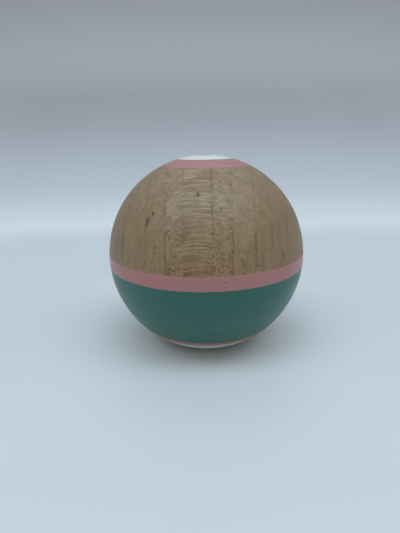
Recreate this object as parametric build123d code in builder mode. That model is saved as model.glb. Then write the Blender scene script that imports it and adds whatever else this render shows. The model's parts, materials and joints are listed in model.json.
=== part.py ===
"""Turned wooden ball of a cup-and-ball toy.

The ball is one piece of hardwood, turned on a lathe. A wide spike hole with a bevelled mouth is bored
up from below, and a narrow string hole runs on from its end to the top. The ball stands on the rounded
rim of the spike hole. Z is the turning axis, and the rim touches the plane Z = 0.
"""

import os
from math import cos, radians, sin, sqrt, tan

from build123d import *

# Driving dimensions, in millimetres and degrees
ball_diameter = 60.0
spike_hole_diameter = 21.5
spike_hole_point_angle = 118.0  # included angle of the drilled end
crown_thickness = 12.0  # wood between the spike hole's end and the top of the ball
mouth_bevel_width = 1.4  # measured across, from the spike hole's wall to the rim
rim_rounding = 0.5  # radius of the softened rim between the bevel and the ball
string_hole_diameter = 3.5
string_bevel_width = 0.6
bevel_angle = 45.0  # both bevels, from the turning axis

ball_radius = ball_diameter / 2
spike_hole_radius = spike_hole_diameter / 2
string_hole_radius = string_hole_diameter / 2
bevel_slope = radians(bevel_angle)
point_slope = radians(spike_hole_point_angle / 2)

# The rim is a small arc that touches the ball, the bevel and the table, so it sets the ball's height
standing_radius = spike_hole_radius + mouth_bevel_width + rim_rounding * cos(bevel_slope)
rim_to_ball_centre = ball_radius - rim_rounding
ball_centre_height = rim_rounding + sqrt(rim_to_ball_centre**2 - standing_radius**2)
top_height = ball_centre_height + ball_radius

# Points of the half section, as (distance from the axis, height): first the ball and its rim
ball_centre = Vector(0, ball_centre_height)
equator = Vector(ball_radius, ball_centre_height)
rim_centre = Vector(standing_radius, rim_rounding)
rim_on_ball = ball_centre + (rim_centre - ball_centre).normalized() * ball_radius
rim_on_table = Vector(standing_radius, 0)
rim_on_bevel = rim_centre - Vector(cos(bevel_slope), sin(bevel_slope)) * rim_rounding

# The spike hole, from its mouth to the drilled end that the string hole starts from
mouth_bevel_top = Vector(spike_hole_radius, rim_on_bevel.Y + mouth_bevel_width / tan(bevel_slope))
string_hole_start = Vector(string_hole_radius, top_height - crown_thickness)
point_depth = (spike_hole_radius - string_hole_radius) / tan(point_slope)
spike_wall_end = Vector(spike_hole_radius, string_hole_start.Y - point_depth)

# The string hole's top, with a small bevel that breaks out on the ball
string_mouth_radius = string_hole_radius + string_bevel_width
string_mouth = Vector(string_mouth_radius, ball_centre_height + sqrt(ball_radius**2 - string_mouth_radius**2))
string_wall_top = Vector(string_hole_radius, string_mouth.Y - string_bevel_width / tan(bevel_slope))

# The half section, turned about the axis as on the lathe
with BuildPart() as ball:
    with BuildSketch(Plane.XZ) as section:
        with BuildLine() as outline:
            ball_arc = ThreePointArc(string_mouth, equator, rim_on_ball)
            outer_rim = TangentArc(rim_on_ball, rim_on_table, tangent=ball_arc % 1)
            TangentArc(rim_on_table, rim_on_bevel, tangent=outer_rim % 1)
            Polyline(
                rim_on_bevel,
                mouth_bevel_top,
                spike_wall_end,
                string_hole_start,
                string_wall_top,
                string_mouth,
            )
        make_face()
    revolve(axis=Axis.Z)

ball.part.label = "ball"
os.makedirs("parts", exist_ok=True)
export_step(ball.part, "parts/ball.step")
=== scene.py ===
# %% [markdown]
# # A turned and painted wooden ball
#
# The object is the ball of a cup-and-ball toy. It was turned from one block of pale hardwood, bored from
# below for a spike and from above for a string, painted in bands while it spun on the lathe, and lacquered.
# The measured solid comes from the CAD frame. This lesson adds what that solid can't hold: the coats of
# paint, the figure of the wood, the finish and a plain studio.

# %% Load the measured ball
import json

from math import acos, atan2, cos, degrees, pi, radians, sin, sqrt

import bmesh
import bpy
from mathutils import Matrix, Vector


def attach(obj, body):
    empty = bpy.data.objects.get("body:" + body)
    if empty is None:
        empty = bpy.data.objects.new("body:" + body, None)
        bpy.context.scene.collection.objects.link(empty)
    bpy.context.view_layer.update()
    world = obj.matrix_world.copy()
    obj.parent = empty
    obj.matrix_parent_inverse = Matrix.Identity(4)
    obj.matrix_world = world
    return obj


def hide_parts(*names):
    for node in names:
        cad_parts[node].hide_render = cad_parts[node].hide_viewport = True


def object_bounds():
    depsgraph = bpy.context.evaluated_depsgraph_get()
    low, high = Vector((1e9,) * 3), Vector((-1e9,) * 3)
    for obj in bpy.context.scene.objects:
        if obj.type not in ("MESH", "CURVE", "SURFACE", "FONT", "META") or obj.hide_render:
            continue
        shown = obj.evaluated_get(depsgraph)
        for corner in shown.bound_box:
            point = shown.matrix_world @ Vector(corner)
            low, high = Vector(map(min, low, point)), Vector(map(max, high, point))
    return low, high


MM = 0.001

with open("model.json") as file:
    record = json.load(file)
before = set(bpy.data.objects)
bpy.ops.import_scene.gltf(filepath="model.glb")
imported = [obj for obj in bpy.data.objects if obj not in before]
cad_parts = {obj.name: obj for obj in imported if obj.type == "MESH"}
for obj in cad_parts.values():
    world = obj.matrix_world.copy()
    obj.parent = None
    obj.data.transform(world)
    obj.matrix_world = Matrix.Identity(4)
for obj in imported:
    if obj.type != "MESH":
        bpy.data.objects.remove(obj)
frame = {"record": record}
cad_low, cad_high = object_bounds()
print("CAD box in mm:", [round(side / MM, 2) for side in cad_high - cad_low])

# %% [markdown]
# ## Sizes from the frame
#
# Nothing is measured twice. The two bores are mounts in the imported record, so their radii and the heights
# of their walls are read there. The ball's radius and the height of its centre follow from the CAD box.
# Only the small bevel at the string hole, the rounded rim and the way the lower bevel faces are written
# here, because the record has no place for them.

# %% Sizes of the ball, in metres
string_bevel = 0.6 * MM
rim_rounding = 0.5 * MM
bevel_facing = radians(225)  # measured from the top, like the bands: inwards and down


def bore_wall(name):
    """Radius of a bore, and the heights at which its straight wall starts and ends."""
    mount = next(row for row in frame["record"]["mounts"] if row["name"] == name)
    half_length = mount["dims"]["length_mm"] * MM / 2
    middle = mount["pos_m"][2]
    return mount["dims"]["r_mm"] * MM, middle - half_length, middle + half_length


spike_radius, spike_wall_start, spike_wall_end = bore_wall("spike_hole")
string_radius, string_wall_start, string_wall_end = bore_wall("string_hole")

ball_radius = (cad_high.y - cad_low.y) / 2
ball_centre = Vector((0, 0, cad_high.z - sqrt(ball_radius**2 - (string_radius + string_bevel) ** 2)))
rim_drop = ball_centre.z - rim_rounding
standing_radius = sqrt((ball_radius - rim_rounding) ** 2 - rim_drop**2)
print("radius", round(ball_radius / MM, 2), "mm, centre", round(ball_centre.z / MM, 2), "mm above the floor")
print("the ball stands on a ring of radius", round(standing_radius / MM, 2), "mm")

# %% [markdown]
# ## The painted bands
#
# The bands are rings about the turning axis, so each edge is one angle from the top of the ball. On the
# real ball they were brushed on while it turned, which leaves a film with a soft step at each edge. A step
# could be faked with bump, but then the mesh would stay bare, so the steps go into the section that is
# turned below. The outside of the thickest paint is the CAD surface, and bare wood lies a film deeper.

# %% Bands from top to bottom: the finish, and the angle from the top at which it ends
film_depth = {"wood": 0.06 * MM, "white": 0.02 * MM, "green": 0.02 * MM, "pink": 0.0}
film_slope = radians(0.25)  # the part of the turn that a soft step takes
string_mouth_angle = acos((cad_high.z - ball_centre.z) / ball_radius)
rim_angle = atan2(standing_radius, -rim_drop)
bands = [
    ("white", radians(15.6)),
    ("pink", radians(25.95)),
    ("wood", radians(86.3)),
    ("pink", radians(93.8)),
    ("green", radians(133.5)),
    ("pink", radians(138.3)),
    ("white", rim_angle),
]
print("bands end at", [(finish, round(degrees(angle), 2)) for finish, angle in bands])

# %% [markdown]
# ## Turning the ball
#
# A ball with a bore could be cut from a sphere with Boolean modifiers, but those leave untidy triangles
# round the holes. The real one was turned on a lathe, and a mesh can be turned too: one moving point draws
# half of the section, which is then spun about the axis. An extruded point draws a straight line, and a
# point that is spun about a centre draws an arc, so no list of points has to be worked out.


# %% The section starts with one point, the pen
def deselect_all():
    if bpy.context.object and bpy.context.object.mode == "EDIT":
        bpy.ops.object.mode_set(mode="OBJECT")
    bpy.ops.object.select_all(action="DESELECT")


def start_section(name, place):
    """Adds a mesh of one point, the pen, and leaves it selected in edit mode."""
    deselect_all()
    bpy.ops.mesh.primitive_plane_add(size=MM, location=place)
    piece = bpy.context.object
    piece.name = piece.data.name = name
    bpy.ops.object.transform_apply(location=True)
    bpy.ops.object.mode_set(mode="EDIT")
    bpy.ops.mesh.select_mode(type="VERT")
    bpy.ops.mesh.merge(type="CENTER")
    return piece


def in_section(radius, height):
    return Vector((radius, 0, height))


def pen_place(piece):
    """Where the pen stands: the one selected point."""
    mesh = bmesh.from_edit_mesh(piece.data)
    return next(point.co.copy() for point in mesh.verts if point.select)


ball = start_section("painted_ball", in_section(string_radius, string_wall_start))
print("the pen starts at", [round(side / MM, 2) for side in pen_place(ball)], "mm")

# %% The pen goes up the string hole, round the outside and up the spike hole
ball_step = radians(1.25)
rim_step = radians(9)


def line_to(piece, place):
    bpy.ops.mesh.extrude_region_move(TRANSFORM_OT_translate={"value": place - pen_place(piece)})


def arc_by(turn, centre, step):
    """Swings the pen about a centre, from the top outwards and down, in steps of about the given angle."""
    bpy.ops.mesh.spin(steps=max(1, round(turn / step)), angle=turn, center=centre, axis=(0, -1, 0))


def on_ball(angle, depth):
    """A point of the section, at an angle from the top and a depth under the CAD surface."""
    return ball_centre + (ball_radius - depth) * in_section(sin(angle), cos(angle))


line_to(ball, in_section(string_radius, string_wall_end))
angle = string_mouth_angle
for finish, band_end in bands:
    line_to(ball, on_ball(angle, film_depth[finish]))
    arc_by(band_end - film_slope - angle, ball_centre, ball_step)
    angle = band_end
line_to(ball, on_ball(rim_angle, 0))
arc_by(bevel_facing - rim_angle, in_section(standing_radius, rim_rounding), rim_step)
line_to(ball, in_section(spike_radius, spike_wall_start))
line_to(ball, in_section(spike_radius, spike_wall_end))
line_to(ball, in_section(string_radius, string_wall_start))
print("section:", len(bmesh.from_edit_mesh(ball.data).verts), "points")

# %% The section is turned into a skin that faces outwards
ball_turns = 288
weld_distance = 0.001 * MM

bpy.ops.mesh.select_all(action="SELECT")
bpy.ops.mesh.spin(steps=ball_turns, angle=2 * pi, center=(0, 0, 0), axis=(0, 0, 1))
bpy.ops.mesh.select_all(action="SELECT")
bpy.ops.mesh.remove_doubles(threshold=weld_distance)
bpy.ops.mesh.normals_make_consistent(inside=False)
print("turned ball:", len(bmesh.from_edit_mesh(ball.data).faces), "faces")

# %% [markdown]
# ## Easing the cut edges
#
# Where two cuts meet, the wood was rubbed with sandpaper, so no edge of the mouths is knife sharp. A Bevel
# modifier would do, but the edges are few and easy to pick by their sharpness, so they are bevelled here.

# %% Ease the edges of the bores
edge_ease = 0.15 * MM
edge_ease_steps = 3
edge_sharpness = radians(29)

bpy.ops.mesh.select_all(action="DESELECT")
bpy.ops.mesh.select_mode(type="EDGE")
bpy.ops.mesh.edges_select_sharp(sharpness=edge_sharpness)
bpy.ops.mesh.bevel(offset=edge_ease, segments=edge_ease_steps, affect="EDGES")
bpy.ops.object.mode_set(mode="OBJECT")
bpy.ops.object.shade_smooth_by_angle(angle=edge_sharpness)
print("eased ball:", len(ball.data.polygons), "faces")

# %% [markdown]
# ## A short way to write node trees
#
# Every finish below is a tree of nodes. Written out in full, each node takes five lines, and the idea is
# lost among them. One helper adds a node, sets it up, and links or fills its inputs, so that a tree reads
# from top to bottom like a recipe. The first tree is the figure of the wood. The lacquered wood, the bare
# wood and the paint over the wood all need it, so it is a node group, and here it gets its sockets.


# %% A node group for the figure, with nothing but its sockets
def add_node(tree, kind, inputs=None, **settings):
    """Adds a node. An input takes a value, or the output socket of another node to link to."""
    node = tree.nodes.new(kind)
    for name, value in settings.items():
        setattr(node, name, value)
    for name, value in (inputs or {}).items():
        if isinstance(value, bpy.types.NodeSocket):
            tree.links.new(value, node.inputs[name])
        else:
            node.inputs[name].default_value = value
    return node


def new_group(name, inputs, outputs):
    """A node group with its inputs, each with a usual value, and the sockets that its inputs come from."""
    group = bpy.data.node_groups.new(name, "ShaderNodeTree")
    for socket, usual in inputs.items():
        kind = "NodeSocketColor" if isinstance(usual, tuple) else "NodeSocketFloat"
        group.interface.new_socket(socket, in_out="INPUT", socket_type=kind).default_value = usual
    for socket, kind in outputs.items():
        group.interface.new_socket(socket, in_out="OUTPUT", socket_type=kind)
    return group, add_node(group, "NodeGroupInput").outputs


figure_outputs = dict.fromkeys(["Tone", "Ring line", "Ray mask", "Height"], "NodeSocketFloat")
wood_figure, figure_inputs = new_group("wood_figure", {"Rays": 1.0, "Fibres": 1.0}, figure_outputs)
print("the figure of the wood will give", list(figure_outputs))

# %% [markdown]
# ## The figure of the wood
#
# The block was quarter-sawn: the rays of the tree lie flat in the front and the back of the ball. There they
# show as a strip of fine lines across the grain, which break up into flecks to either side, and the growth
# rings show as upright lines. A picture wrapped round the skin would smear at the poles, and the bore would
# not match the outside. The figure runs through the solid, so it is made from the place in space.
#
# It starts with a table of the rings. A ramp holds three values at once in its red, green and blue, so one
# ramp across the rings gives the shade and both kinds of ray. A second ramp gives the lines between rings.

# %% Growth rings from left to right
# Each ring has its right end in mm, the darkness of the line there, its shade, and how much of the two
# kinds of ray it shows: long lines and short flecks.
ring_reach = 32.0
rings = [
    (-24.5, 0.4, 0.49, 0.0, 0.15),
    (-20.4, 0.4, 0.47, 0.0, 0.15),
    (-13.3, 0.4, 0.51, 0.0, 0.25),
    (-8.1, 0.5, 0.48, 0.0, 0.5),
    (-3.7, 0.6, 0.53, 0.2, 0.9),
    (3.7, 0.7, 0.49, 1.0, 0.3),
    (8.8, 0.5, 0.52, 0.1, 0.9),
    (14.5, 0.9, 0.54, 0.0, 0.55),
    (19.0, 0.3, 0.47, 0.0, 0.2),
    (24.0, 0.3, 0.49, 0.0, 0.15),
    (ring_reach, 0.0, 0.46, 0.0, 0.15),
]
print(len(rings), "rings from", -ring_reach, "to", ring_reach, "mm")

# %% Two ramps across the rings
ring_blend = 0.5
ring_line_half = 0.4


def ring_place(across):
    """A place across the rings, as a place from 0 to 1 on a ramp."""
    return (across + ring_reach) / (2 * ring_reach)


def ring_look_stops():
    """Two stops for each ring: red is its shade, green its ray lines and blue its ray flecks."""
    stops = []
    ring_start = -ring_reach
    for ring_end, _, *look in rings:
        stops.append((ring_place(ring_start + ring_blend), look))
        stops.append((ring_place(ring_end - ring_blend), look))
        ring_start = ring_end
    return stops


def ring_line_stops():
    """Three stops for each line between two rings: nothing, its darkness, nothing."""
    stops = []
    for ring_end, darkness, *_ in rings[:-1]:
        stops.append((ring_place(ring_end - ring_line_half), (0, 0, 0)))
        stops.append((ring_place(ring_end), (darkness, darkness, darkness)))
        stops.append((ring_place(ring_end + ring_line_half), (0, 0, 0)))
    return stops


print(len(ring_look_stops()), "stops for the rings and", len(ring_line_stops()), "for the lines between them")

# %% [markdown]
# ### Rings, rays and fibres
#
# The rings are cylinders about the middle of the tree, which lies far to the right of this ball, so their
# place is the distance from there, with a little wandering. The rest is noise: cells that are long one way
# and thin another become rays, fibres or streaks. A Wave texture would make rays too, but too evenly. All
# of it is measured in millimetres, and each cell below adds its nodes to the group.

# %% Places and noise in millimetres
grain_turn = radians(4)  # the strip of rays faces a little to the left of the front
noise_middle = 0.5


def maths(tree, operation, *values):
    return add_node(tree, "ShaderNodeMath", dict(enumerate(values)), operation=operation).outputs["Value"]


def vector_maths(tree, operation, *values):
    return add_node(tree, "ShaderNodeVectorMath", dict(enumerate(values)), operation=operation).outputs


def place_in_mm(tree, turn=0.0):
    """Object coordinates in millimetres, turned about the ball's axis."""
    place = add_node(tree, "ShaderNodeTexCoord").outputs["Object"]
    inputs = {"Vector": place, "Rotation": (0, 0, turn), "Scale": (1 / MM,) * 3}
    return add_node(tree, "ShaderNodeMapping", inputs).outputs["Vector"]


def noise(tree, place, size, detail=2.0):
    """Noise from 0 to 1 about its middle, with cells of the given size along each axis."""
    cells = vector_maths(tree, "DIVIDE", place, size)["Vector"]
    inputs = {"Vector": cells, "Scale": 1.0, "Detail": detail}
    return add_node(tree, "ShaderNodeTexNoise", inputs).outputs["Fac"]


def add_share(tree, value, amount, total):
    """Adds a share of a value that lies about the middle of noise to a total."""
    return maths(tree, "MULTIPLY_ADD", maths(tree, "SUBTRACT", value, noise_middle), amount, total)


grain_place = place_in_mm(wood_figure, grain_turn)
print("the grain is turned by", round(degrees(grain_turn), 1), "degrees")

# %% How far across the rings a place lies
pith_distance = 350.0
front_reach = sqrt(pith_distance**2 + (ball_radius / MM) ** 2)
ring_wander = {"size": (14.0, 30.0, 26.0), "detail": 4.0}
ring_wander_width = 1.6
level = (1, 1, 0)


def mapped(tree, value, low, high, to_low, to_high, interpolation="LINEAR"):
    """A value moved from one range to another, and held at its ends."""
    inputs = {"Value": value, "From Min": low, "From Max": high, "To Min": to_low, "To Max": to_high}
    return add_node(tree, "ShaderNodeMapRange", inputs, interpolation_type=interpolation).outputs["Result"]


def across_rings(tree, place):
    """The place across the rings, from 0 to 1 as on the ramps."""
    front = add_share(tree, noise(tree, place, **ring_wander), ring_wander_width, front_reach)
    to_pith = vector_maths(tree, "SUBTRACT", place, (pith_distance, 0, 0))["Vector"]
    reach = vector_maths(tree, "LENGTH", vector_maths(tree, "MULTIPLY", to_pith, level)["Vector"])["Value"]
    return mapped(tree, maths(tree, "SUBTRACT", front, reach), -ring_reach, ring_reach, 0.0, 1.0)


across = across_rings(wood_figure, grain_place)
print("the front of the ball lies", round(front_reach, 1), "mm from the middle of the tree")

# %% The look of the rings, and the lines between them
line_breaks = {"size": (3.0, 9.0, 8.0)}
line_break_span = (0.36, 0.62)
line_strengths = (0.1, 1.0)  # of a line where it breaks, and where it is whole


def opaque(colour):
    return (*colour, 1.0)


def colour_ramp(tree, value, stops):
    """A ramp through stops from 0 to 1, each with a colour."""
    node = add_node(tree, "ShaderNodeValToRGB", {"Fac": value})
    elements = node.color_ramp.elements
    elements.remove(elements[1])
    elements[0].position, elements[0].color = stops[0][0], opaque(stops[0][1])
    for place, colour in stops[1:]:
        elements.new(place).color = opaque(colour)
    return node.outputs["Color"]


look = colour_ramp(wood_figure, across, ring_look_stops())
ring_look = add_node(wood_figure, "ShaderNodeSeparateColor", {"Color": look}).outputs
breaks = noise(wood_figure, grain_place, **line_breaks)
breaks = mapped(wood_figure, breaks, *line_break_span, *line_strengths)
ring_line = maths(wood_figure, "MULTIPLY", colour_ramp(wood_figure, across, ring_line_stops()), breaks)
print("with the rings the group has", len(wood_figure.nodes), "nodes")

# %% Long lines of rays
ray_line_noise = {"size": (9.0, 25.0, 0.42)}
ray_line_heights = (29.0, 54.0)
ray_line_bows = (0.05, 0.012)  # how fast the ray lines drop away to the sides, at those two heights
noise_span = (0.3, 0.7)  # noise seldom strays outside this


def bowed(tree, place):
    """Places raised to either side, so that a level line drawn on them drops away there."""
    along = add_node(tree, "ShaderNodeSeparateXYZ", {"Vector": place}).outputs
    bow = mapped(tree, along["Z"], *ray_line_heights, *ray_line_bows)
    height = maths(tree, "MULTIPLY_ADD", maths(tree, "MULTIPLY", along["X"], along["X"]), bow, along["Z"])
    inputs = {"X": along["X"], "Y": along["Y"], "Z": height}
    return add_node(tree, "ShaderNodeCombineXYZ", inputs).outputs["Vector"]


ray_lines = noise(wood_figure, bowed(wood_figure, grain_place), **ray_line_noise)
ray_lines = mapped(wood_figure, ray_lines, *noise_span, 0.0, 1.0)
rays = add_share(wood_figure, ray_lines, ring_look["Green"], noise_middle)
print("with the ray lines the group has", len(wood_figure.nodes), "nodes")

# %% Short flecks of rays
ray_fleck_noise = {"size": (1.7, 0.15, 1.1), "detail": 1.0}
ray_fleck_wobble = {"size": 1.4, "reach": 1.2}
wobble_detail = 1.0


def wobbled(tree, place, size, reach):
    """Places moved about by noise, so that what is drawn on them is less straight."""
    inputs = {"Vector": place, "Scale": 1 / size, "Detail": wobble_detail}
    shift = add_node(tree, "ShaderNodeTexNoise", inputs).outputs["Color"]
    shift = vector_maths(tree, "SUBTRACT", shift, (noise_middle,) * 3)["Vector"]
    return vector_maths(tree, "MULTIPLY_ADD", shift, (reach,) * 3, place)["Vector"]


ray_flecks = noise(wood_figure, wobbled(wood_figure, grain_place, **ray_fleck_wobble), **ray_fleck_noise)
ray_flecks = mapped(wood_figure, ray_flecks, *noise_span, 0.0, 1.0)
rays = add_share(wood_figure, ray_flecks, ring_look["Blue"], rays)
ray_mask = maths(wood_figure, "MAXIMUM", ring_look["Green"], ring_look["Blue"])
print("with the ray flecks the group has", len(wood_figure.nodes), "nodes")

# %% Fibres and streaks, and the whole figure
fibre_noise = {"size": (0.32, 0.32, 14.0), "detail": 3.0}
streak_noise = {"size": (1.9, 1.9, 45.0)}
ray_share = 0.9
fibre_share = 0.45
streak_share = 0.65

fibres = noise(wood_figure, grain_place, **fibre_noise)
streaks = noise(wood_figure, grain_place, **streak_noise)
ray_amount = maths(wood_figure, "MULTIPLY", figure_inputs["Rays"], ray_share)
fibre_amount = maths(wood_figure, "MULTIPLY", figure_inputs["Fibres"], fibre_share)
streak_amount = maths(wood_figure, "MULTIPLY", figure_inputs["Fibres"], streak_share)
tone = add_share(wood_figure, rays, ray_amount, ring_look["Red"])
tone = add_share(wood_figure, fibres, fibre_amount, tone)
tone = add_share(wood_figure, streaks, streak_amount, tone)
height = add_share(wood_figure, rays, 1.0, fibres)
figure_parts = {"Tone": tone, "Ring line": ring_line, "Ray mask": ray_mask, "Height": height}
add_node(wood_figure, "NodeGroupOutput", figure_parts)
print("the whole figure has", len(wood_figure.nodes), "nodes")

# %% [markdown]
# ## Dark flecks
#
# A few dark flecks of pith run with the grain, and one speck of dust sits in the pink belt. They are too few
# and too odd for a noise, so each is listed on its own, by its angle to the right of the front and its height
# angle above the ball's middle. A fleck is a long ellipsoid with a wobbly edge, and a Mapping node turns the
# place into a distance from it. Those on the back are made up, in the same way as those that can be seen.

# %% Flecks: angle to the right, angle up, half width and half length in mm
flecks = [
    (-34.5, 28.5, 0.42, 1.2),
    (-32.5, 33.0, 0.38, 0.6),
    (-5.0, 44.5, 0.46, 0.6),
    (-27.0, 44.0, 0.22, 0.6),
    (-56.5, 34.0, 0.25, 0.6),
    (-51.0, 17.0, 0.22, 2.2),
    (-46.0, 5.5, 0.22, 0.9),
    (43.5, 9.5, 0.25, 1.0),
    (26.0, 7.0, 0.30, 0.4),
    (9.1, 0.7, 0.25, 0.25),
    (-67.0, 40.5, 0.35, 0.9),
    (-25.3, 54.2, 0.22, 0.25),
    (3.5, 13.7, 0.25, 0.30),
    (5.9, 12.2, 0.25, 0.30),
    (4.1, 8.6, 0.25, 0.30),
    (8.2, 8.8, 0.20, 0.25),
    (13.4, 15.2, 0.22, 0.40),
    (-17.7, 7.1, 0.22, 0.30),
    (-13.3, 7.4, 0.22, 0.25),
    (-20.4, 12.0, 0.22, 0.30),
    (118.0, 22.0, 0.30, 1.1),
    (151.0, 38.0, 0.30, 0.7),
    (164.0, 12.0, 0.25, 1.6),
    (-108.0, 41.0, 0.30, 0.8),
    (-146.0, 17.0, 0.30, 1.2),
]
print(len(flecks), "flecks, the longest of", 2 * max(half_length for *_, half_length in flecks), "mm")

# %% The flecks as one mask
fleck_reach = 6.0  # mm that a fleck goes into the wood
fleck_fade = (1.3, 0.5)  # where a fleck ends and where it is full, in parts of its own size
fleck_wobble = {"size": 0.8, "reach": 0.5}


def on_skin_mm(right, up):
    """A place on the ball in mm, from its angle to the right of the front and its angle up."""
    right, up = radians(right), radians(up)
    outward = Vector((sin(right) * cos(up), -cos(right) * cos(up), sin(up)))
    return (ball_centre + ball_radius * outward) / MM


def make_flecks():
    group, _ = new_group("dark_flecks", {}, {"Mask": "NodeSocketFloat"})
    place = wobbled(group, place_in_mm(group), **fleck_wobble)
    mask = 0.0
    for right, up, half_width, half_length in flecks:
        inputs = {
            "Vector": place,
            "Location": on_skin_mm(right, up),
            "Rotation": (0, 0, radians(right)),
            "Scale": (half_width, fleck_reach, half_length),
        }
        away = add_node(group, "ShaderNodeMapping", inputs, vector_type="TEXTURE").outputs["Vector"]
        away = vector_maths(group, "LENGTH", away)["Value"]
        mask = maths(group, "MAXIMUM", mask, mapped(group, away, *fleck_fade, 0.0, 1.0, "SMOOTHSTEP"))
    add_node(group, "NodeGroupOutput", {"Mask": mask})
    return group


dark_flecks = make_flecks()
print("the mask of the flecks has", len(dark_flecks.nodes), "nodes")

# %% [markdown]
# ## Lacquered wood
#
# The bare band is pale wood under satin lacquer. The tone of the figure runs through a ramp of wood colours,
# and the ring lines and flecks go over that in brown. Just above the belt the rays are painted darker and
# yellower, as painted shade where less light and sheen of the lamp reach. The lacquer is level, so the bump
# is very shallow, and its gloss varies a little with the fibres below it. A clear coat over a matt wood
# would give two layers of gloss, but one thin satin film needs only the base layer's.


# %% A material that holds the figure
def new_finish(name):
    """A material with its tree and its Principled shader."""
    material = bpy.data.materials.new(name)
    material.use_nodes = True
    return material, material.node_tree, material.node_tree.nodes["Principled BSDF"]


def place_group(tree, group, **values):
    """Puts a node group in a tree, with its own values, and returns its outputs."""
    return add_node(tree, "ShaderNodeGroup", values, node_tree=group).outputs


lacquered_wood, wood_tree, wood_shader = new_finish("satin_lacquered_wood")
figure = place_group(wood_tree, wood_figure)
print(lacquered_wood.name, "takes", figure.keys(), "from the figure")

# %% The colours of the lacquered wood
wood_colours = [(0.1, (0.152, 0.098, 0.049)), (0.5, (0.231, 0.157, 0.084)), (0.9, (0.314, 0.220, 0.124))]
ring_brown = (0.090, 0.051, 0.021)
fleck_brown = (0.070, 0.036, 0.006)
fleck_strength = 0.85
# painted shade: between these heights the rays just above the belt are darkened and yellowed by this tint
painted_low_shade_heights = (30.5, 37.0)
painted_low_shade_tint = (0.94, 0.83, 0.76)


def mixed(tree, amount, first, second):
    """Mixes two colours. A Mix node has sockets for other kinds too, so its colours go by number."""
    inputs = {"Factor": amount, 6: first, 7: second}
    return add_node(tree, "ShaderNodeMix", inputs, data_type="RGBA").outputs[2]


up = add_node(wood_tree, "ShaderNodeSeparateXYZ", {"Vector": place_in_mm(wood_tree)}).outputs["Z"]
# painted shade on the rays near the belt, full at the lower height and gone at the upper one
low = mapped(wood_tree, up, *painted_low_shade_heights, 1.0, 0.0)
painted_low_shade_mask = maths(wood_tree, "MULTIPLY", low, figure["Ray mask"])
fleck = maths(wood_tree, "MULTIPLY", place_group(wood_tree, dark_flecks)["Mask"], fleck_strength)
colour = colour_ramp(wood_tree, figure["Tone"], wood_colours)
painted_shade_colour = vector_maths(wood_tree, "MULTIPLY", colour, painted_low_shade_tint)["Vector"]
colour = mixed(wood_tree, painted_low_shade_mask, colour, painted_shade_colour)
colour = mixed(wood_tree, figure["Ring line"], colour, opaque(ring_brown))
colour = mixed(wood_tree, fleck, colour, opaque(fleck_brown))
wood_tree.links.new(colour, wood_shader.inputs["Base Color"])
print("the colours of the lacquered wood take", len(wood_tree.nodes), "nodes")

# %% The gloss of the lacquer
lacquer_reflection = 0.36
lacquer_roughness = (0.48, 0.40)
figure_height_span = (0.2, 0.8)
lacquer_relief = 0.008 * MM


def bumped(tree, shader, height, depth):
    """Gives a shader a relief that is too fine for the mesh."""
    bump = add_node(tree, "ShaderNodeBump", {"Height": height, "Distance": depth})
    tree.links.new(bump.outputs["Normal"], shader.inputs["Normal"])


roughness = mapped(wood_tree, figure["Height"], *figure_height_span, *lacquer_roughness)
wood_tree.links.new(roughness, wood_shader.inputs["Roughness"])
wood_shader.inputs["Specular IOR Level"].default_value = lacquer_reflection
bumped(wood_tree, wood_shader, figure["Height"], lacquer_relief)
print("made", lacquered_wood.name, "with", len(wood_tree.nodes), "nodes")

# %% [markdown]
# ## Bare wood
#
# Inside the bores and on the lower bevel nothing covers the wood. It is drier and rougher than under lacquer,
# and the drill has left fine rings. Those could be cut into the mesh, but they are finer than its faces, so
# they are noise that is thin along the axis and the same all round it, in the colour and the bump.

# %% Bare wood of the bores
bare_colours = [(0.1, (0.160, 0.108, 0.056)), (0.5, (0.250, 0.178, 0.098)), (0.9, (0.330, 0.245, 0.145))]
bare_figure = {"Rays": 0.5, "Fibres": 1.6}
tool_marks = {"size": (60.0, 60.0, 0.25)}
tool_mark_share = 0.35
bare_roughness = (0.70, 0.85)
bare_relief = 0.02 * MM


def make_bare_wood():
    material, tree, shader = new_finish("bare_wood")
    figure = place_group(tree, wood_figure, **bare_figure)
    marks = noise(tree, place_in_mm(tree), **tool_marks)
    tone = add_share(tree, marks, tool_mark_share, figure["Tone"])
    tree.links.new(colour_ramp(tree, tone, bare_colours), shader.inputs["Base Color"])
    tree.links.new(mapped(tree, marks, *noise_span, *bare_roughness), shader.inputs["Roughness"])
    bumped(tree, shader, maths(tree, "ADD", marks, figure["Height"]), bare_relief)
    return material


bare_wood = make_bare_wood()
print("made", bare_wood.name)

# %% [markdown]
# ## Paints
#
# The three paints are the same satin paint in other colours, so one group makes the brushed coat: a mottle
# that is broad round the ball and narrow down it, as a brush leaves on turning work. The grain below shows
# through as the slightest unevenness, with a little dust. The pink paint also takes the dust speck. One
# material with a ramp by height could paint all bands at once, but the film steps already part the faces.

# %% The brushed coat as a node group
coat_noise = {"size": (11.0, 11.0, 2.2), "detail": 3.0}
coat_roughness = (0.36, 0.30)
dust_noise = {"size": (0.7, 0.7, 0.7)}
grain_under_paint = 0.5
usual_coat = {"Colour": (0.5, 0.5, 0.5, 1.0), "Mottle": 0.1}


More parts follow.
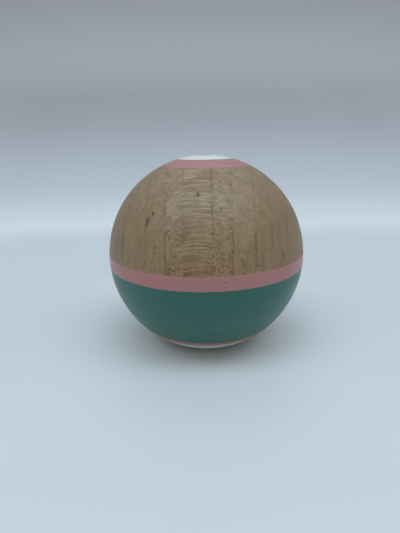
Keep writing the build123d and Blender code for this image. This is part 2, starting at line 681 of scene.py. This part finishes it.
def make_brushed_coat():
    outputs = {"Colour": "NodeSocketColor", "Roughness": "NodeSocketFloat", "Height": "NodeSocketFloat"}
    group, given = new_group("brushed_coat", usual_coat, outputs)
    place = place_in_mm(group)
    coat = noise(group, place, **coat_noise)
    inputs = {0: given["Colour"], "Scale": add_share(group, coat, given["Mottle"], 1.0)}
    colour = add_node(group, "ShaderNodeVectorMath", inputs, operation="SCALE").outputs["Vector"]
    roughness = mapped(group, coat, *noise_span, *coat_roughness)
    grain = place_group(group, wood_figure)["Height"]
    height = maths(group, "MULTIPLY_ADD", grain, grain_under_paint, noise(group, place, **dust_noise))
    add_node(group, "NodeGroupOutput", {"Colour": colour, "Roughness": roughness, "Height": height})
    return group


brushed_coat = make_brushed_coat()
print("the brushed coat has", len(brushed_coat.nodes), "nodes")

# %% Three satin paints
paint_colours = {
    "white": (0.625, 0.635, 0.565),
    "pink": (0.352, 0.150, 0.142),
    "green": (0.013, 0.100, 0.077),
}
paint_mottle = 0.16
paint_relief = 0.006 * MM
speck_strength = 0.7


def make_paint(name, colour):
    material, tree, shader = new_finish(f"{name}_paint")
    coat = place_group(tree, brushed_coat, Colour=opaque(colour), Mottle=paint_mottle)
    shown = coat["Colour"]
    if name == "pink":
        speck = maths(tree, "MULTIPLY", place_group(tree, dark_flecks)["Mask"], speck_strength)
        shown = mixed(tree, speck, shown, opaque(fleck_brown))
    tree.links.new(shown, shader.inputs["Base Color"])
    tree.links.new(coat["Roughness"], shader.inputs["Roughness"])
    bumped(tree, shader, coat["Height"], paint_relief)
    return material


paints = {name: make_paint(name, colour) for name, colour in paint_colours.items()}
print("made", [paint.name for paint in paints.values()])

# %% [markdown]
# ## Giving each face its finish
#
# A face of the skin belongs to the band that its middle lies in, and the faces of the rim, the bevels and
# the bores are bare wood. They are picked by their place and assigned as in edit mode by hand. A mask in one
# material could part the finishes too, but the edges of faces stay sharp at any distance.

# %% Assign the finishes
finishes = {"wood": lacquered_wood, **paints, "bare": bare_wood}
skin_depth = 0.1 * MM


def finish_at(place):
    """The finish at a place: that of its band, or bare wood away from the ball's own skin."""
    outward = place - ball_centre
    angle = acos(outward.z / outward.length)
    if outward.length < ball_radius - skin_depth or angle > rim_angle:
        return "bare"
    return next(finish for finish, band_end in bands if angle <= band_end)


bpy.ops.object.mode_set(mode="EDIT")
bpy.ops.mesh.select_mode(type="FACE")
for slot, (finish, material) in enumerate(finishes.items()):
    ball.data.materials.append(material)
    bpy.ops.mesh.select_all(action="DESELECT")
    skin = bmesh.from_edit_mesh(ball.data)
    picked = [face for face in skin.faces if finish_at(face.calc_center_median()) == finish]
    for face in picked:
        face.select = True
    ball.active_material_index = slot
    bpy.ops.object.material_slot_assign()
    print(finish, "on", len(picked), "faces")
bpy.ops.object.mode_set(mode="OBJECT")

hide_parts("ball")
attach(ball, "root")

# %% [markdown]
# ## The studio
#
# The ball stands on pale paper that is swept up into a wall on all four sides, so every side is seen against
# the same plain background. The paper is an open box whose edges get one wide bevel, which is quicker than
# bending a plane four times. Its colour darkens outwards, from a pale floor to a grey wall, as painted shade,
# with a painted light line where the sweep begins. The camera shows white paper as a pale grey, so the paper
# throws back more light than it shows.

# %% A box of paper, open at the top
floor_half = 190 * MM
sweep_radius = 260 * MM
paper_half = floor_half + sweep_radius
wall_height = 300 * MM
wall_middle = wall_height / 2

deselect_all()
bpy.ops.mesh.primitive_cube_add(size=1, location=(0, 0, wall_middle))
sweep = bpy.context.object
sweep.name = sweep.data.name = "studio_sweep"
sweep.scale = (2 * paper_half, 2 * paper_half, wall_height)
bpy.ops.object.transform_apply(location=True, scale=True)
bpy.ops.object.mode_set(mode="EDIT")
bpy.ops.mesh.select_mode(type="FACE")
box = bmesh.from_edit_mesh(sweep.data)
for face in box.faces:
    face.select = all(point.co.z > wall_middle for point in face.verts)
bpy.ops.mesh.delete(type="ONLY_FACE")
print("paper box:", len(bmesh.from_edit_mesh(sweep.data).faces), "faces")

# %% Its edges become the sweep
sweep_steps = 24

bpy.ops.mesh.select_mode(type="EDGE")
box = bmesh.from_edit_mesh(sweep.data)
for edge in box.edges:
    edge.select = any(point.co.z < wall_middle for point in edge.verts)
bpy.ops.mesh.bevel(offset=sweep_radius, segments=sweep_steps, affect="EDGES")
bpy.ops.mesh.select_all(action="SELECT")
bpy.ops.mesh.normals_make_consistent(inside=True)
bpy.ops.object.mode_set(mode="OBJECT")
bpy.ops.object.shade_smooth()
print("sweep:", len(sweep.data.polygons), "faces")

# %% Colours of the paper, with painted shade and a painted light line, from the middle outwards
# painted shade and light: the colours darken towards the wall, and the bright stop at 0.40 is a painted light
# line
paper_colours_and_painted_shade = [
    (0.00, (0.590, 0.618, 0.614)),
    (0.08, (0.582, 0.608, 0.600)),
    (0.14, (0.550, 0.568, 0.562)),
    (0.30, (0.548, 0.570, 0.566)),
    (0.40, (0.662, 0.682, 0.666)),
    (0.52, (0.580, 0.594, 0.586)),
    (0.61, (0.480, 0.494, 0.492)),
    (0.76, (0.370, 0.377, 0.382)),
    (0.90, (0.276, 0.271, 0.277)),
    (1.00, (0.332, 0.322, 0.338)),
]
print(len(paper_colours_and_painted_shade), "colours from the middle to", round(paper_half / MM), "mm out")

# %% The paper of the sweep
paper_bounce = (1.37, 1.32, 1.25)  # the light that the paper throws back, against what it shows
paper_roughness = 0.4
paper_fleece = {"size": (2.0, 2.0, 2.0)}
paper_relief = 0.01 * MM
corner_doublings = 3  # each makes the corners of the colours' square sharper


def make_paper():
    material, tree, shader = new_finish("pale_paper")
    place = place_in_mm(tree)
    square = vector_maths(tree, "MULTIPLY", place, (MM / paper_half,) * 3)["Vector"]
    for _ in range(corner_doublings):
        square = vector_maths(tree, "MULTIPLY", square, square)["Vector"]
    out = vector_maths(tree, "DOT_PRODUCT", square, level)["Value"]
    out = maths(tree, "POWER", out, 0.5**corner_doublings)
    shown = colour_ramp(tree, out, paper_colours_and_painted_shade)
    bounced = vector_maths(tree, "MULTIPLY", shown, paper_bounce)["Vector"]
    path = add_node(tree, "ShaderNodeLightPath").outputs
    seen = maths(tree, "MAXIMUM", path["Is Camera Ray"], path["Is Glossy Ray"])
    seen = maths(tree, "MAXIMUM", path["Is Transmission Ray"], seen)
    tree.links.new(mixed(tree, seen, bounced, shown), shader.inputs["Base Color"])
    shader.inputs["Roughness"].default_value = paper_roughness
    bumped(tree, shader, noise(tree, place, **paper_fleece), paper_relief)
    return material


sweep.data.materials.append(make_paper())
print("made", sweep.data.materials[0].name)

# %% [markdown]
# ## Light
#
# One long soft lamp hangs above and a little in front, slightly to the right. It gives the wide sheen on the
# upper half and the short soft shadow under the ball. A weaker, cooler lamp behind puts the bluish sheen on
# the top ring, and a dim pale room fills the rest. A picture of a real studio could light the scene as
# well, but two lamps are easier to move.

# %% Lamps
lamp_distance = 1400 * MM
lamps = {
    "top_lamp": {
        "elevation": radians(74),
        "turn": radians(5),
        "size": (2600 * MM, 700 * MM),
        "power": 18.9,
        "colour": (0.835, 1.0, 1.168),
    },
    "back_lamp": {
        "elevation": radians(60),
        "turn": radians(180),
        "size": (2400 * MM, 500 * MM),
        "power": 3.6,
        "colour": (0.70, 1.0, 1.35),
    },
}


def hang_lamp(name, elevation, turn, size, power, colour):
    """Hangs a soft lamp at an angle above the floor and an angle to the right of the front."""
    outward = Vector((sin(turn), -cos(turn), 0)) * cos(elevation)
    direction = outward + Vector((0, 0, sin(elevation)))
    deselect_all()
    bpy.ops.object.light_add(type="AREA", location=ball_centre + lamp_distance * direction)
    lamp = bpy.context.object
    lamp.name = lamp.data.name = name
    lamp.rotation_euler = direction.to_track_quat("Z", "Y").to_euler()
    lamp.data.shape = "RECTANGLE"
    lamp.data.size, lamp.data.size_y = size
    lamp.data.energy = power
    lamp.data.color = colour
    print(name, "of", power, "W at", [round(side, 3) for side in lamp.location])


for name, settings in lamps.items():
    hang_lamp(name, **settings)

# %% Room
room_colour = (1.0, 1.0, 1.0)
room_strength = 0.44

room = bpy.data.worlds.new("pale_room")
room.use_nodes = True
room.node_tree.nodes["Background"].inputs["Color"].default_value = opaque(room_colour)
room.node_tree.nodes["Background"].inputs["Strength"].default_value = room_strength
bpy.context.scene.world = room
print("room at", room_strength)

# %% [markdown]
# ## The camera
#
# The camera stands where the photograph was taken from. Its place and tilt were worked out from the ball's
# outline and from the curves of its bands, and the lens from how fast those curves close in. A camera set by
# eye would do for a rough view, but not for laying the two pictures over each other.

# %% Camera
image_height = 533
focal_length = 400  # in pixels of the image
camera_distance = 4.247 * ball_radius
camera_elevation = radians(15.51)
camera_tilt = radians(17.52)
camera_yaw = radians(0.925)
camera_roll = radians(-1.022)
nearest_seen = 1 * MM

bpy.ops.object.camera_add()
camera = bpy.context.object
camera.location = ball_centre + camera_distance * Vector((0, -cos(camera_elevation), sin(camera_elevation)))
aim = Matrix.Rotation(camera_yaw, 3, "Z") @ Matrix.Rotation(pi / 2 - camera_tilt, 3, "X")
camera.rotation_euler = (aim @ Matrix.Rotation(camera_roll, 3, "Z")).to_euler()
camera.data.lens = camera.data.sensor_width * focal_length / image_height
camera.data.clip_start = nearest_seen
bpy.context.scene.camera = camera
bpy.context.scene.view_settings.view_transform = "Standard"
print("camera at", [round(side / MM, 1) for side in camera.location], "mm, lens", round(camera.data.lens, 2))
